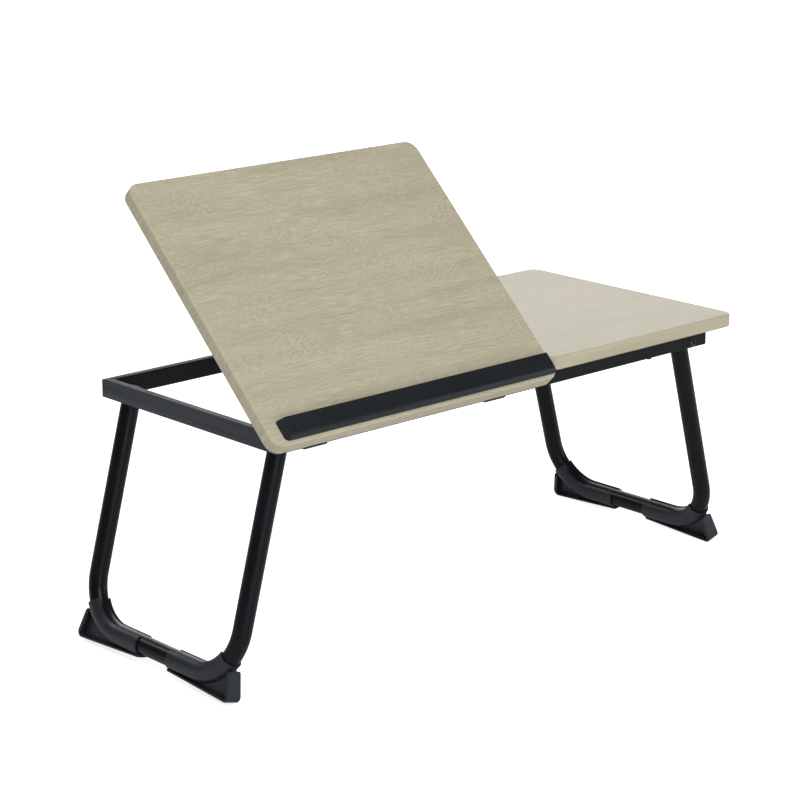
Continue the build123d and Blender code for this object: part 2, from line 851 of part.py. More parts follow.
def build_nodes():
    front = front_rail()
    rear = mirror(front, Plane.XZ)
    left = left_rail()
    right = drilled_for_end_screws(mirror(left, Plane.YZ))
    left_hinge = Pos(hinge_xs()[0], 0, 0)
    right_hinge = Pos(hinge_xs()[1], 0, 0)
    tube = leg_tube()
    plugs = leg_plugs()
    clip = prop_clip()
    nodes = {
        "frame_front_rail": drilled_for_rivets(front),
        "frame_rear_rail": rear,
        "frame_left_rail": left,
        "frame_right_rail": right,
        "rack_channel": rack_channel(),
        "fixed_top": fixed_top(),
        "fixed_top_screws": frame_screws(),
        "left_hinge_frame_leaf": left_hinge * frame_leaf(),
        "right_hinge_frame_leaf": right_hinge * frame_leaf(),
        "hinge_pins": [left_hinge * hinge_pin(), right_hinge * hinge_pin()],
        "hinge_rivets": hinge_rivets(),
        "leg_pivot_bolts": pivot_bolts(),
        "leg_pivot_spacers": pivot_spacers(),
        "leg_pivot_washers": pivot_washers(),
        "leg_pivot_nuts": pivot_nuts(),
        "tilting_top": raised(tilting_top()),
        "left_hinge_top_leaf": raised(left_hinge * top_leaf()),
        "right_hinge_top_leaf": raised(right_hinge * top_leaf()),
        "hinge_screws": [raised(screw) for screw in small_screws(hinge_screw_places(), hinge_leaf)],
        "stop_bar": raised(stop_bar()),
        "stop_bar_screws": [raised(Pos(x, y, tilting_low) * stop_screw()) for x, y in stop_screw_places()],
        "prop_clip_screws": [raised(screw) for screw in small_screws(clip_screw_places(), clip_base)],
        "prop_wire": placed_prop(),
    }
    for name, x in zip(("prop_clip_left", "prop_clip_right"), clip_xs()):
        nodes[name] = raised(Pos(x, clip_y, clip_z) * clip)
    for name, side in (("left", -1), ("right", 1)):
        nodes[name + "_leg_tube"] = on_leg(tube, side)
        nodes[name + "_leg_plugs"] = [on_leg(plug, side) for plug in plugs]
        nodes[name + "_front_foot"] = on_leg(front_shoe, side)
        nodes[name + "_rear_foot"] = on_leg(back_shoe, side)
    return nodes


def as_shape(piece):
    solids = []
    for item in piece if isinstance(piece, list) else [piece]:
        solids += item.solids()
    return solids[0] if len(solids) == 1 else Compound(children=solids)


os.makedirs("parts", exist_ok=True)
for node_name, piece in build_nodes().items():
    export_step(as_shape(piece), os.path.join("parts", node_name + ".step"))
print("lean", lean_angle, "frame top", frame_top)
print("leg pivots", pivot_x, pivot_z)
print("hinge axis", hinge_y, hinge_z)
print("prop axis at rest", prop_axis_y, prop_axis_z)
print("cross bar at rest", bar_rest_y, bar_rest_z)
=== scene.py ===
# Folding computer table: finishes, tubes, fasteners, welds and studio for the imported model.
import json
import math

import bmesh
import bpy
from mathutils import Matrix, Vector


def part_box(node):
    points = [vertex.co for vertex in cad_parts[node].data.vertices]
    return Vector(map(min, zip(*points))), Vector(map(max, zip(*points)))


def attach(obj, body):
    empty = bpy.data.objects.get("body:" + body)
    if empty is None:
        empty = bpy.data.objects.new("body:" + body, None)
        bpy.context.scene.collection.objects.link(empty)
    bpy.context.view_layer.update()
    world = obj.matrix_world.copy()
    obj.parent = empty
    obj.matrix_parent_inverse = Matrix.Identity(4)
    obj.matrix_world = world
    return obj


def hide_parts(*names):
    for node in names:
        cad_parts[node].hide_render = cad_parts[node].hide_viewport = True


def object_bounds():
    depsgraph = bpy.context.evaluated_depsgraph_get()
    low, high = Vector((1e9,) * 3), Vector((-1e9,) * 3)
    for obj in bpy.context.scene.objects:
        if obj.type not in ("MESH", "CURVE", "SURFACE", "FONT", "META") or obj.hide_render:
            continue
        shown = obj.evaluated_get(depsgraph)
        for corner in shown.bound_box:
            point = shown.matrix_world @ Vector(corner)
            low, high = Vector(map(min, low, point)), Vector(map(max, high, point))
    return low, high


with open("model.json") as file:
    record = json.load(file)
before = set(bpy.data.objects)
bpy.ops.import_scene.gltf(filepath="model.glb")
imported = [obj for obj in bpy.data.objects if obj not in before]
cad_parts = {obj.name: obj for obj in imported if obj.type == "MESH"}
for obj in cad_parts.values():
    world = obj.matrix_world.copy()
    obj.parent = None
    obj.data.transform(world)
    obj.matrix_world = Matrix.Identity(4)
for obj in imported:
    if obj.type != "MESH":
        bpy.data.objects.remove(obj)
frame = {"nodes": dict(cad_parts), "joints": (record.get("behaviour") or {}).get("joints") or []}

cadLow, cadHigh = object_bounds()
nodes = frame["nodes"]
joints = {joint["name"]: joint for joint in frame["joints"]}
mm = 0.001          # a millimetre in Blender's metres
bevelSamples = 4    # rays spent on each softened edge


def linearColour(hexText):
    channels = [int(hexText[i:i + 2], 16) / 255 for i in (0, 2, 4)]
    linear = [c / 12.92 if c <= 0.04045 else ((c + 0.055) / 1.055) ** 2.4 for c in channels]
    return (*linear, 1.0)


def perMetre(sizeInMm):
    return 1000 / sizeInMm  # noise scale that gives features of this size


def addNode(tree, kind, inputs=None, **settings):
    # inputs maps a socket to a value, a socket, a node (its first output) or a list of these
    node = tree.nodes.new(kind)
    for name, value in settings.items():
        setattr(node, name, value)
    for socket, value in (inputs or {}).items():
        for feed in value if isinstance(value, list) else [value]:
            if isinstance(feed, bpy.types.Node):
                feed = feed.outputs[0]
            if isinstance(feed, bpy.types.NodeSocket):
                tree.links.new(feed, node.inputs[socket])
            else:
                node.inputs[socket].default_value = feed
    return node


def calc(tree, operation, *values, **settings):
    inputs = dict(enumerate(values))
    return addNode(tree, "ShaderNodeMath", inputs, operation=operation, **settings)


def remap(tree, value, source=(0, 1), target=(0, 1)):
    # carries the source range onto the target range
    return addNode(tree, "ShaderNodeMapRange", {
        "Value": value, "From Min": source[0], "From Max": source[1],
        "To Min": target[0], "To Max": target[1],
    })


def scaled(tree, vector, factor):
    return addNode(tree, "ShaderNodeVectorMath", {0: vector, "Scale": factor}, operation="SCALE")


def combined(tree, *values):
    return addNode(tree, "ShaderNodeCombineXYZ", dict(enumerate(values)))


def noise(tree, place, sizeInMm, detail, **settings):
    return addNode(tree, "ShaderNodeTexNoise", {
        "Vector": place, "Scale": perMetre(sizeInMm), "Detail": detail,
    }, **settings)


def mixed(tree, share, under, over):
    blend = addNode(tree, "ShaderNodeMix", {"Factor": share, 6: under, 7: over}, data_type="RGBA")
    return blend.outputs[2]


def softEdges(tree, widthInMm):
    # the normal rounded over the edges, and how nearly it agrees with the flat one
    rounded = addNode(tree, "ShaderNodeBevel", {"Radius": widthInMm * mm}, samples=bevelSamples)
    geometry = addNode(tree, "ShaderNodeNewGeometry")
    likeness = addNode(tree, "ShaderNodeVectorMath", {
        0: rounded, 1: geometry.outputs["Normal"],
    }, operation="DOT_PRODUCT")
    return rounded, likeness.outputs["Value"]


def bumped(tree, height, depthInMm, **inputs):
    return addNode(tree, "ShaderNodeBump", {
        "Height": height, "Distance": depthInMm * mm, "Strength": 1.0, **inputs,
    })


def newMaterial(name):
    material = bpy.data.materials.new(name)
    material.use_nodes = True
    material.node_tree.nodes.clear()
    return material, material.node_tree


def finishMaterial(tree, shader):
    addNode(tree, "ShaderNodeOutputMaterial", {"Surface": shader.outputs["BSDF"]})


# The raised board turns about its hinge, so what belongs to it is drawn in its own level frame
tilt = math.radians(-joints["top_tilt"]["range_deg"][0])
hingePoint = Vector(joints["top_tilt"]["pos_m"])
toHinge, fromHinge = Matrix.Translation(hingePoint), Matrix.Translation(-hingePoint)
raiseBoard = toHinge @ Matrix.Rotation(tilt, 4, "X") @ fromHinge
levelBoard = raiseBoard.inverted()
fixedLow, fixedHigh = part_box("fixed_top")

# Particle board wrapped in PVC film: printed pale oak, embossed with short pores, satin.
# Widths, lengths and depths are in mm. A range holds the noise values where a mark starts and ends
oakFilm = {
    "pale": "C7C0A6", "mid": "C2BBA1", "deep": "BAB297", "warm": "C2B59F",
    "backing": "CFC8B6", "worn": "D8D2BD",
    # the print: broad tonal bands, faint pinkish clouds and long grain lines, which drift sideways
    "bandWidth": 26, "bandLength": 380, "bandRange": (0.3, 0.7),
    "cloudWidth": 40, "cloudLength": 80, "cloudRange": (0.5, 0.7), "cloudShare": 0.5,
    "lineWidth": 3.0, "lineLength": 110, "lineRange": (0.4, 0.75), "lineShare": 0.4,
    "wander": 4, "wanderLength": 130,
    # the emboss: short dashes, drawn coarser than the real 0.6 mm, which swing about their slant
    "poreWidth": 1.6, "poreLength": 8, "poreSlant": 17,   # slant in degrees off the grain
    "swirl": 2.5, "swirlLength": 45,
    # and level lines, which take over between the patches of dashes
    "rippleWidth": 1.2, "rippleLength": 28, "patchRange": (0.4, 0.65), "patchShare": (0.1, 0.9),
    "markRange": (0.4, 0.6), "markRelief": 0.5,           # relief of a mark beside a grain line
    "fineness": 0.55,                                     # share of each finer step of the noise
    "embossDepth": 0.24, "reliefLightAndShadeShare": 0.1,                 # painted light and shade of the relief, as a share of the print's colour
    # the backing paper is what faces down, and it takes little of the emboss
    "downFacing": -0.9, "backingEmboss": 0.12,
    # the film is paler over the rims: a little wear, and a painted highlight along the rounded
    # arris
    "rimWidth": 2.2, "rimRange": (0.998, 0.95), "rimWearAndHighlightShare": 0.45,
    "roughness": 0.42, "roughnessSwing": (-0.06, 0.06), "ior": 1.5,
}
# the fixed board shows the same print with calmer marks and less painted light and shade in its
# relief
calmOakFilm = {**oakFilm, "reliefLightAndShadeShare": 0.05, "embossDepth": 0.15}


def roughnessRange(look):
    return [look["roughness"] + swing for swing in look["roughnessSwing"]]


def oakFilmMaterial(name, angle, look):
    material, tree = newMaterial(name)
    coords = addNode(tree, "ShaderNodeTexCoord")
    turnBack = Matrix.Rotation(-angle, 3, "X")
    place = addNode(tree, "ShaderNodeMapping", {
        "Vector": coords.outputs["Object"],
        "Location": -(turnBack @ hingePoint) + hingePoint,
        "Rotation": (-angle, 0, 0),
    })
    facing = addNode(tree, "ShaderNodeMapping", {
        "Vector": coords.outputs["Normal"],
        "Rotation": (-angle, 0, 0),
    })
    at = addNode(tree, "ShaderNodeSeparateXYZ", {0: place})
    normal = addNode(tree, "ShaderNodeSeparateXYZ", {0: facing})
    # the film folds down over the rim, so the print is unrolled outwards along the edges
    drop = calc(tree, "SUBTRACT", fixedHigh.z, at.outputs["Z"])
    along = calc(tree, "MULTIPLY_ADD", normal.outputs["X"], drop, at.outputs["X"])
    across = calc(tree, "MULTIPLY_ADD", normal.outputs["Y"], drop, at.outputs["Y"])
    flat = combined(tree, along, across)

    def swung(amount, length, shift):
        # the place on the film, pushed sideways by a slow noise
        start = addNode(tree, "ShaderNodeMapping", {
            "Vector": flat, "Location": (shift, shift, 0),
        })
        drift = noise(tree, start, length, detail=2.0, noise_dimensions="2D")
        push = remap(tree, drift, target=(-amount * mm, amount * mm))
        pushed = calc(tree, "ADD", across, push)
        return combined(tree, along, pushed)

    def stretched(source, length, width, detail, shift, slant=0):
        # each noise starts at its own shift, so that no two patterns lie on one another
        turned = addNode(tree, "ShaderNodeMapping", {
            "Vector": source, "Rotation": (0, 0, -math.radians(slant)),
        })
        drawn = addNode(tree, "ShaderNodeMapping", {
            "Vector": turned, "Location": (shift, shift, 0),
            "Scale": (perMetre(length), perMetre(width), 1),
        })
        return addNode(tree, "ShaderNodeTexNoise", {
            "Vector": drawn, "Scale": 1.0, "Detail": detail, "Roughness": look["fineness"],
        }, noise_dimensions="2D")

    grain = swung(look["wander"], look["wanderLength"], shift=0)
    curled = swung(look["swirl"], look["swirlLength"], shift=3)
    bands = stretched(grain, look["bandLength"], look["bandWidth"], detail=3.0, shift=0)
    clouds = stretched(grain, look["cloudLength"], look["cloudWidth"], detail=2.0, shift=21)
    lines = stretched(grain, look["lineLength"], look["lineWidth"], detail=3.0, shift=7)
    pores = stretched(
        curled, look["poreLength"], look["poreWidth"],
        detail=1.5, shift=13, slant=look["poreSlant"],
    )
    ripples = stretched(curled, look["rippleLength"], look["rippleWidth"], detail=1.5, shift=31)

    base = addNode(tree, "ShaderNodeValToRGB", {0: bands})
    tones = base.color_ramp.elements
    tones[0].position, tones[1].position = look["bandRange"]
    tones[0].color = linearColour(look["deep"])
    tones[1].color = linearColour(look["pale"])
    tones.new(sum(look["bandRange"]) / 2).color = linearColour(look["mid"])
    cloudMask = remap(tree, clouds, look["cloudRange"], (0, look["cloudShare"]))
    warmed = mixed(tree, cloudMask, base, linearColour(look["warm"]))
    lineMask = remap(tree, lines, look["lineRange"], (0, look["lineShare"]))
    lined = mixed(tree, lineMask, warmed, linearColour(look["deep"]))
    # the dashes fade where the level lines take over
    dashStrength = remap(tree, clouds, look["patchRange"], look["patchShare"])
    rippleStrength = calc(tree, "SUBTRACT", 1.0, dashStrength)
    dashed, rippled = (remap(tree, marks, look["markRange"], (-1, 1)) for marks in (pores, ripples))
    dashes = calc(tree, "MULTIPLY", dashed, dashStrength)
    relief = calc(tree, "MULTIPLY_ADD", rippled, rippleStrength, dashes)
    # the relief also lightens and darkens the colour: painted light and shade of the embossed
    # dashes and lines
    reliefLightAndShade = calc(tree, "MULTIPLY_ADD", relief, look["reliefLightAndShadeShare"], 1.0)
    pored = scaled(tree, lined, reliefLightAndShade)

    # plain backing paper under the board, and paler rims with wear and a painted highlight along
    # the arris
    underside = calc(tree, "LESS_THAN", normal.outputs["Z"], look["downFacing"])
    backed = mixed(tree, underside, pored, linearColour(look["backing"]))
    rounded, likeness = softEdges(tree, look["rimWidth"])
    rimWearAndHighlightMask = remap(tree, likeness, look["rimRange"], (0, look["rimWearAndHighlightShare"]))
    worn = mixed(tree, rimWearAndHighlightMask, backed, linearColour(look["worn"]))

    # the plates press the film only, and the backing paper stays nearly flat
    pressed = remap(tree, underside, target=(1, look["backingEmboss"]))
    grooved = calc(tree, "MULTIPLY_ADD", relief, look["markRelief"], lines)
    emboss = calc(tree, "MULTIPLY", grooved, pressed)
    bump = bumped(tree, emboss, look["embossDepth"], Normal=rounded)
    sheen = remap(tree, bands, target=roughnessRange(look))
    shader = addNode(tree, "ShaderNodeBsdfPrincipled", {
        "Base Color": worn, "Roughness": sheen, "Normal": bump, "IOR": look["ior"],
    })
    finishMaterial(tree, shader)
    return material


# Coats and mouldings on the black parts: colour, colour of worn edges, sheen and skin. In mm are
# the widths of level streaks and edges, the size and depth of the skin's peel and the blotches'
# size
darkFinishes = {
    # powder coat baked on rectangular steel tube: satin, with a fine orange peel
    "satinPowderCoatRail": {
        "colour": "1B1D20", "edge": "3C4045", "roughness": 0.46, "gloss": 0.15,
        "peel": 0.9, "peelDepth": 0.012, "blotch": 38, "edgeWidth": 0.9, "edgeShare": 0.15,
        "streak": 5, "streakShare": 0.2,
    },
    # a lighter, greyer copy of the rails' coat for the end rails, with stronger streaks and paler
    # edges: painted light from the left on their outer faces
    "satinPowderCoatEndRailPaintedLight": {
        "colour": "373A3E", "edge": "55595E", "roughness": 0.48, "gloss": 0.3,
        "peel": 0.9, "peelDepth": 0.012, "blotch": 38, "edgeWidth": 0.9, "edgeShare": 0.4,
        "streak": 6, "streakShare": 0.5,
    },
    # the same coat on round tube, laid on smoother and a little glossier
    "satinPowderCoatTube": {
        "colour": "0C0E10", "edge": "2A2D31", "roughness": 0.33, "gloss": 0.24,
        "peel": 1.1, "peelDepth": 0.006, "blotch": 45, "edgeWidth": 0.7, "edgeShare": 0.2,
    },
    # polypropylene moulded in a spark-eroded tool: matt grain, softer edges
    "mouldedPolypropylene": {
        "colour": "24272B", "edge": "50545A", "roughness": 0.42, "gloss": 0.5,
        "peel": 0.7, "peelDepth": 0.02, "blotch": 22, "edgeWidth": 0.6, "edgeShare": 0.3,
    },
    # ABS moulded in a finely blasted tool: satin, even
    "mouldedStopBar": {
        "colour": "1B1F22", "edge": "4A4E53", "roughness": 0.36, "gloss": 0.5,
        "peel": 0.6, "peelDepth": 0.01, "blotch": 60, "edgeWidth": 0.5, "edgeShare": 0.4,
    },
    # pressed steel dipped and baked: thin black coat, rubbed at its corners
    "dippedBlackSteel": {
        "colour": "1B1E20", "edge": "6A6E72", "roughness": 0.34, "gloss": 0.6,
        "peel": 1.0, "peelDepth": 0.01, "blotch": 15, "edgeWidth": 0.4, "edgeShare": 0.8,
    },
}
# What all of them share: blotches shade the colour and the sheen, level streaks along the rails are
# this many mm long, and the reflections are faintly blue
blackCoat = {
    "edgeRange": (0.99, 0.8), "noiseRange": (0.3, 0.7), "blotchShade": (0.88, 1.12),
    "roughnessSwing": (-0.05, 0.07), "streakLength": 400, "reflection": "E4ECFA",
}


def darkMaterial(name):
    look = {**blackCoat, **darkFinishes[name]}
    material, tree = newMaterial(name)
    place = addNode(tree, "ShaderNodeTexCoord").outputs["Object"]
    blotches = noise(tree, place, look["blotch"], detail=4.0)
    skin = noise(tree, place, look["peel"], detail=2.0)
    likeness = softEdges(tree, look["edgeWidth"])[1]
    edge = remap(tree, likeness, look["edgeRange"], (0, look["edgeShare"]))
    patchy = calc(tree, "MULTIPLY", edge, blotches)
    shade = remap(tree, blotches, look["noiseRange"], look["blotchShade"])
    # level streaks lighten and darken the colour along the rails
    if "streak" in look:
        length, width = perMetre(look["streakLength"]), perMetre(look["streak"])
        level = addNode(tree, "ShaderNodeMapping", {
            "Vector": place, "Scale": (length, length, width),
        })
        levelStreaks = addNode(tree, "ShaderNodeTexNoise", {"Vector": level, "Scale": 1.0, "Detail": 2.0})
        marks = remap(
            tree, levelStreaks, look["noiseRange"], (1 - look["streakShare"], 1 + look["streakShare"]),
        )
        shade = calc(tree, "MULTIPLY", shade, marks)
    tinted = scaled(tree, linearColour(look["colour"])[:3], shade)
    colour = mixed(tree, patchy, tinted, linearColour(look["edge"]))
    sheen = remap(tree, blotches, look["noiseRange"], roughnessRange(look))
    bump = bumped(tree, skin, look["peelDepth"])
    shader = addNode(tree, "ShaderNodeBsdfPrincipled", {
        "Base Color": colour, "Roughness": sheen, "Normal": bump,
        "Specular IOR Level": look["gloss"], "Specular Tint": linearColour(look["reflection"]),
    })
    finishMaterial(tree, shader)
    return material


# Bright zinc plate on small steel fasteners: metal, softly mottled, faintly blue
zincPlate = {
    "colour": "B9BDC0", "roughness": 0.32, "roughnessSwing": (-0.08, 0.12),
    "mottle": 3.5, "mottleShade": (0.85, 1.05), "grain": 0.5, "grainDepth": 0.006,
}


def zincMaterial(name, look):
    material, tree = newMaterial(name)
    place = addNode(tree, "ShaderNodeTexCoord").outputs["Object"]
    mottle = noise(tree, place, look["mottle"], detail=3.0)
    grain = noise(tree, place, look["grain"], detail=2.0)
    sheen = remap(tree, mottle, target=roughnessRange(look))
    shade = remap(tree, mottle, target=look["mottleShade"])
    colour = scaled(tree, linearColour(look["colour"])[:3], shade)
    bump = bumped(tree, grain, look["grainDepth"])
    shader = addNode(tree, "ShaderNodeBsdfPrincipled", {
        "Base Color": colour, "Roughness": sheen, "Normal": bump, "Metallic": 1.0,
    })
    finishMaterial(tree, shader)
    return material


materials = {name: darkMaterial(name) for name in darkFinishes}
materials["zincPlatedSteel"] = zincMaterial("zincPlatedSteel", zincPlate)
materials["oakFilmFixed"] = oakFilmMaterial("oakFilmFixed", 0.0, calmOakFilm)
materials["oakFilmTilting"] = oakFilmMaterial("oakFilmTilting", tilt, oakFilm)

nodeFinish = {
    "oakFilmFixed": ["fixed_top"],
    "oakFilmTilting": ["tilting_top"],
    "satinPowderCoatRail": ["frame_front_rail", "frame_rear_rail", "rack_channel"],
    # the end rails take the painted-light copy of the rail coat
    "satinPowderCoatEndRailPaintedLight": ["frame_left_rail", "frame_right_rail"],
    "mouldedPolypropylene": [
        "left_front_foot", "left_rear_foot", "right_front_foot", "right_rear_foot",
        "left_leg_plugs", "right_leg_plugs", "leg_pivot_spacers",
        "prop_clip_left", "prop_clip_right",
    ],
    "mouldedStopBar": ["stop_bar"],
    "dippedBlackSteel": [
        "left_hinge_frame_leaf", "right_hinge_frame_leaf",
        "left_hinge_top_leaf", "right_hinge_top_leaf",
    ],
    "zincPlatedSteel": ["hinge_pins", "leg_pivot_washers"],
}
for finish, names in nodeFinish.items():
    for name in names:
        nodes[name].data.materials.clear()
        nodes[name].data.materials.append(materials[finish])
print("finishes set on", sum(len(names) for names in nodeFinish.values()), "CAD nodes")

creaseAngle = math.radians(35)  # edges that turn more than this stay crisp


# Geometry Nodes: each tree takes a host mesh, has named inputs and ends in one material
def newTree(name, inputs):
    tree = bpy.data.node_groups.new(name, "GeometryNodeTree")
    for way in ("INPUT", "OUTPUT"):
        tree.interface.new_socket("Geometry", in_out=way, socket_type="NodeSocketGeometry")
    for label in inputs:
        tree.interface.new_socket(label, in_out="INPUT", socket_type="NodeSocketFloat")
    tree.interface.new_socket("Material", in_out="INPUT", socket_type="NodeSocketMaterial")
    return tree, addNode(tree, "NodeGroupInput").outputs


def finishTree(tree, given, geometry):
    # flat faces meet at crisp edges, and gentle turns are shaded smooth
    real = addNode(tree, "GeometryNodeRealizeInstances", {0: geometry})
    turn = addNode(tree, "GeometryNodeInputMeshEdgeAngle")
    sharp = addNode(tree, "FunctionNodeCompare", {
        0: turn.outputs["Unsigned Angle"], 1: creaseAngle,
    })
    smooth = addNode(tree, "GeometryNodeSetShadeSmooth", {"Geometry": real, "Shade Smooth": True})
    creased = addNode(tree, "GeometryNodeSetShadeSmooth", {
        "Geometry": smooth, "Selection": sharp, "Shade Smooth": False,
    }, domain="EDGE")
    painted = addNode(tree, "GeometryNodeSetMaterial", {
        "Geometry": creased, "Material": given["Material"],
    })
    addNode(tree, "NodeGroupOutput", {0: painted})


def cylinder(tree, sides, radius, depth, sideRows=1, endRings=1):
    return addNode(tree, "GeometryNodeMeshCylinder", {
        "Vertices": sides, "Side Segments": sideRows, "Fill Segments": endRings,
        "Radius": radius, "Depth": depth,
    })


def swept(tree, path, sides, radius, **inputs):
    # a round bar along the path, closed at both ends
    ring = addNode(tree, "GeometryNodeCurvePrimitiveCircle", {
        "Resolution": sides, "Radius": radius,
    })
    return addNode(tree, "GeometryNodeCurveToMesh", {
        "Curve": path, "Profile Curve": ring, "Fill Caps": True, **inputs,
    })


def repeated(tree, given, shape, turn):
    return addNode(tree, "GeometryNodeInstanceOnPoints", {
        "Points": given["Geometry"], "Instance": shape, "Rotation": turn,
    })


def towardsFacing(tree):
    # turns Z to the way that the host's points face
    facing = addNode(tree, "GeometryNodeInputNamedAttribute", {
        "Name": "facing",
    }, data_type="FLOAT_VECTOR")
    return addNode(tree, "FunctionNodeAlignRotationToVector", {"Vector": facing}, axis="Z")


def grow(host, tree, values, material):
    # runs the tree once on its host and keeps the result as the host's own plain mesh
    modifier = host.modifiers.new("grow", "NODES")
    modifier.node_group = tree
    for item in tree.interface.items_tree:
        if item.in_out == "INPUT" and item.name in values:
            modifier[item.identifier] = values[item.name]
        if item.in_out == "INPUT" and item.name == "Material":
            modifier[item.identifier] = material
    bpy.context.view_layer.update()
    evaluated = host.evaluated_get(bpy.context.evaluated_depsgraph_get())
    mesh = bpy.data.meshes.new_from_object(evaluated)
    host.modifiers.remove(modifier)
    host.data = mesh
    mesh.name = host.name
    return host


def newHost(name, points, edges=(), facing=None):
    mesh = bpy.data.meshes.new(name)
    mesh.from_pydata([tuple(point) for point in points], list(edges), [])
    if facing:
        direction = mesh.attributes.new("facing", "FLOAT_VECTOR", "POINT")
        direction.data.foreach_set("vector", [value for turn in facing for value in turn])
    host = bpy.data.objects.new(name, mesh)
    bpy.context.scene.collection.objects.link(host)
    return host


def newPath(name, points):
    return newHost(name, points, [(i, i + 1) for i in range(len(points) - 1)])


def finishPiece(piece, body, node):
    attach(piece, body)
    if node:
        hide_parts(node)
    print(piece.name, "has", len(piece.data.polygons), "faces")


# Leg tubes: round steel tube bent to a U, cut square at the top and drilled for the pivot bolt.
# Sizes are in mm. The bore runs a little past both cut ends, and the drill through both posts
legTube = {
    "radius": 10.0, "wall": 1.2, "bend": 55.0, "pivotToBar": 248.5, "postHead": 5.2,
    "boltHole": 6.2, "boreOverrun": 1.0, "drillLength": 500, "drillSides": 24,
    "bendSteps": 28, "ringSteps": 40,
}
# Prop: coated steel wire bent to a frame, its two stubs turned inwards into the clips
propWire = {
    "radius": 2.5, "bend": 8.0, "stub": 16.0, "halfWidth": 60.0,
    "bendSteps": 12, "ringSteps": 20,
}


def tubeTree(name, drilled):
    tree, given = newTree(name, [
        "Radius", "Bend", "Bend Steps", "Ring Steps", "Wall", "Hole", "Pivot X", "Pivot Z",
    ])
    path = addNode(tree, "GeometryNodeMeshToCurve", {0: given["Geometry"]})
    bent = addNode(tree, "GeometryNodeFilletCurve", {
        "Curve": path, "Radius": given["Bend"], "Limit Radius": True, "Count": given["Bend Steps"],
    }, mode="POLY")
    rod = swept(tree, bent, given["Ring Steps"], given["Radius"])
    if not drilled:
        finishTree(tree, given, rod)
        return tree
    tangent = addNode(tree, "GeometryNodeInputTangent")
    overrun = legTube["boreOverrun"] * mm
    longer = bent
    for atStart in (True, False):
        end = addNode(tree, "GeometryNodeCurveEndpointSelection", {
            "Start Size": int(atStart), "End Size": int(not atStart),
        })
        push = scaled(tree, tangent, -overrun if atStart else overrun)
        longer = addNode(tree, "GeometryNodeSetPosition", {
            "Geometry": longer, "Selection": end, "Offset": push,
        })
    boreRadius = calc(tree, "SUBTRACT", given["Radius"], given["Wall"])
    bore = swept(tree, longer, given["Ring Steps"], boreRadius)
    drillRadius = calc(tree, "MULTIPLY", given["Hole"], 0.5)
    drill = cylinder(tree, legTube["drillSides"], drillRadius, legTube["drillLength"] * mm)
    where = addNode(tree, "ShaderNodeCombineXYZ", {0: given["Pivot X"], 2: given["Pivot Z"]})
    laid = addNode(tree, "GeometryNodeTransform", {
        "Geometry": drill, "Translation": where, "Rotation": (math.pi / 2, 0, 0),
    })
    hollow = addNode(tree, "GeometryNodeMeshBoolean", {
        "Mesh 1": rod, "Mesh 2": [bore, laid],
    }, operation="DIFFERENCE", solver="EXACT")
    finishTree(tree, given, hollow)
    return tree


legTree = tubeTree("bentLegTube", drilled=True)
wireTree = tubeTree("bentPropWire", drilled=False)
for side, sign in (("left", -1), ("right", 1)):
    node = side + "_leg_tube"
    pivot = Vector(joints[side + "_leg_fold"]["pos_m"])
    folded = max(abs(limit) for limit in joints[side + "_leg_fold"]["range_deg"])
    lean = Matrix.Rotation(-sign * math.radians(folded - 90), 3, "Y")
    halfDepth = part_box(node)[1].y - legTube["radius"] * mm
    top, bottom = legTube["postHead"] * mm, -legTube["pivotToBar"] * mm
    corners = [(-halfDepth, top), (-halfDepth, bottom), (halfDepth, bottom), (halfDepth, top)]
    host = newPath(side + "LegTube", [pivot + lean @ Vector((0, y, z)) for y, z in corners])
    tube = grow(host, legTree, {
        "Radius": legTube["radius"] * mm, "Wall": legTube["wall"] * mm,
        "Bend": legTube["bend"] * mm, "Hole": legTube["boltHole"] * mm,
        "Bend Steps": legTube["bendSteps"], "Ring Steps": legTube["ringSteps"],
        "Pivot X": pivot.x, "Pivot Z": pivot.z,
    }, materials["satinPowderCoatTube"])
    finishPiece(tube, side + "_leg", node)

# the wire is drawn lying level behind its axis, then turned to where the prop stands
propAxis = Vector(joints["prop_swing"]["pos_m"])
propTurn = Matrix.Rotation(-tilt, 3, "X")
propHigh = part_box("prop_wire")[1]
wireRadius = propWire["radius"] * mm
reach = (propHigh.y - wireRadius - propAxis.y) / math.cos(tilt)
half = propWire["halfWidth"] * mm
stubEnd = half - (propWire["bend"] + propWire["stub"]) * mm
corners = [(-stubEnd, 0), (-half, 0), (-half, reach), (half, reach), (half, 0), (stubEnd, 0)]
host = newPath("propWire", [propAxis + propTurn @ Vector((x, y, 0)) for x, y in corners])
wire = grow(host, wireTree, {
    "Radius": wireRadius, "Bend": propWire["bend"] * mm,
    "Bend Steps": propWire["bendSteps"], "Ring Steps": propWire["ringSteps"],
}, materials["satinPowderCoatTube"])
finishPiece(wire, "prop", "prop_wire")


def solidBoxes(node, turn=Matrix(), mergeDistance=0.01 * mm):
    # (lowest corner, highest corner) of each solid of a CAD node, always in the same order
    copy = bmesh.new()
    copy.from_mesh(nodes[node].data)
    bmesh.ops.remove_doubles(copy, verts=copy.verts, dist=mergeDistance)
    copy.transform(turn)
    boxes = []
    seen = set()
    for first in copy.verts:
        if first in seen:
            continue
        seen.add(first)
        reached = [first]
        for vertex in reached:
            for edge in vertex.link_edges:
                other = edge.other_vert(vertex)
                if other not in seen:
                    seen.add(other)
                    reached.append(other)
        axes = list(zip(*(vertex.co for vertex in reached)))
        boxes.append((Vector([min(axis) for axis in axes]), Vector([max(axis) for axis in axes])))
    copy.free()
    return boxes


# Turned fasteners: sides and rings of their meshes, how far the shank starts inside the head as a
# share of the rim, how much of the tip is left, and the seed of the angles they are driven to
turnedMesh = {
    "headSides": 32, "headRings": 7, "shankSides": 20, "rowsPerTurn": 6.0,
    "overlap": 0.25, "tipShare": 0.05, "spinSeed": 11,
}


